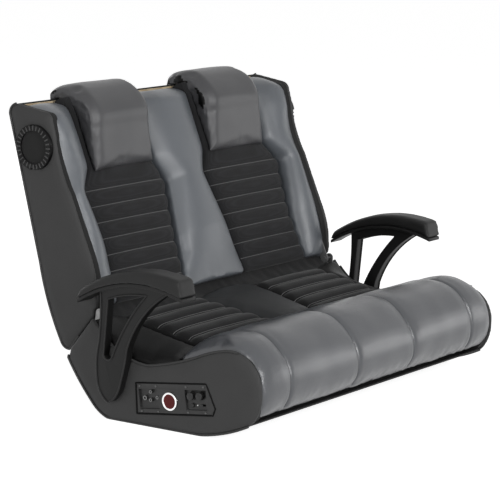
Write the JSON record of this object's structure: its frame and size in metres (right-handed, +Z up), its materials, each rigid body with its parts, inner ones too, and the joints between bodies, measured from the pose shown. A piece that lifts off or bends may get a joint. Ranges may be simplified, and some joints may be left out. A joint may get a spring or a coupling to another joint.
{
  "type": "gaming rocker chair",
  "caption": "Two-seat floor rocker with a curved base, a back that folds down over the seat, padded headrests, armrests, side speakers and a control panel.",
  "frame": {"origin": "middle of the footprint's bounding box, on the floor, chair at rest with its back up", "axes": "+X to the sitter's left along the seat's width, -Y to the front, +Z up"},
  "size_m": [1.088, 0.7682, 0.7478],
  "materials": {
    "side_vinyl": "matte coated fabric",
    "silver_vinyl": "satin coated fabric",
    "roll_vinyl": "satin coated fabric",
    "headrest_vinyl": "satin coated fabric",
    "mesh_fabric": "open knit",
    "board": "raw plywood",
    "covered_board": "thin board under black cloth",
    "arm_plastic": "moulded, fine grain",
    "arm_pad": "skinned foam",
    "trim_plastic": "moulded",
    "grille_cloth": "tight cloth",
    "driver_metal": "cast basket",
    "hinge_steel": "zinc plated",
    "fastener_steel": "plated",
    "panel_plastic": "moulded, satin",
    "ring_chrome": "bright",
    "lens_plastic": "dark, clear coated",
    "lamp_plastic": "white",
    "knob_plastic": "moulded",
    "socket_metal": "plated",
    "amp_case": "raw",
    "motor_case": "painted"
  },
  "bodies": {
    "root": {"seat_side_cover_left": "side_vinyl", "seat_side_cover_right": "side_vinyl", "seat_bolster_left": "silver_vinyl", "seat_bolster_right": "silver_vinyl", "seat_center_strip": "silver_vinyl", "front_roll": "roll_vinyl", "seat_cushion_left": "mesh_fabric", "seat_cushion_right": "mesh_fabric", "seat_cheek_left": "board", "seat_cheek_right": "board", "seat_front_rail": "board", "seat_rear_rail": "board", "seat_deck": "board", "seat_center_rib": "board", "rocker_base": "covered_board", "armrest_bracket_left": "arm_plastic", "armrest_bracket_right": "arm_plastic", "armrest_pad_left": "arm_pad", "armrest_pad_right": "arm_pad", "subwoofer": "driver_metal", "hinge_seat_strap_left": "hinge_steel", "hinge_seat_strap_right": "hinge_steel", "hinge_pins": "hinge_steel", "armrest_bolts": "fastener_steel", "panel_screws": "fastener_steel", "control_panel_bezel": "panel_plastic", "light_ring": "ring_chrome", "ring_lens": "lens_plastic", "status_lamp": "lamp_plastic", "panel_sockets": "socket_metal", "amplifier_module": "amp_case", "vibration_motors": "motor_case"},
    "backrest": {"back_side_cover_left": "side_vinyl", "back_side_cover_right": "side_vinyl", "back_bolster_left": "silver_vinyl", "back_bolster_right": "silver_vinyl", "back_center_bolster": "silver_vinyl", "headrest_left": "headrest_vinyl", "headrest_right": "headrest_vinyl", "back_cushion_left": "mesh_fabric", "back_cushion_right": "mesh_fabric", "back_cheek_left": "board", "back_cheek_right": "board", "back_bottom_rail": "board", "back_board": "board", "back_top_rail": "board", "back_center_rib": "board", "back_rear_shell": "covered_board", "speaker_trim_left": "trim_plastic", "speaker_trim_right": "trim_plastic", "speaker_grille_left": "grille_cloth", "speaker_grille_right": "grille_cloth", "speaker_driver_left": "driver_metal", "speaker_driver_right": "driver_metal", "hinge_back_strap_left": "hinge_steel", "hinge_back_strap_right": "hinge_steel"},
    "volume_knob": {"volume_knob": "knob_plastic"},
    "bass_knob": {"bass_knob": "knob_plastic"},
    "power_button": {"power_button": "knob_plastic"},
    "mode_switch": {"mode_switch": "knob_plastic"}
  },
  "joints": [
    {"name": "back_fold", "type": "hinge", "parent": "root", "child": "backrest", "pos_m": [0, 0.108, 0.24], "axis": [1, 0, 0], "range_deg": [0, 95]},
    {"name": "volume_turn", "type": "hinge", "parent": "root", "child": "volume_knob", "pos_m": [-0.5, -0.18404, 0.09001], "axis": [1, 0, 0], "range_deg": [-135, 135]},
    {"name": "bass_turn", "type": "hinge", "parent": "root", "child": "bass_knob", "pos_m": [-0.5, -0.20886, 0.09297], "axis": [1, 0, 0], "range_deg": [-135, 135]},
    {"name": "power_press", "type": "slide", "parent": "root", "child": "power_button", "axis": [1, 0, 0], "range_m": [0, 0.002], "stiffness_N_per_m": 300},
    {"name": "mode_slide", "type": "slide", "parent": "root", "child": "mode_switch", "axis": [0, -0.993, 0.1184], "range_m": [0, 0.006]}
  ]
}
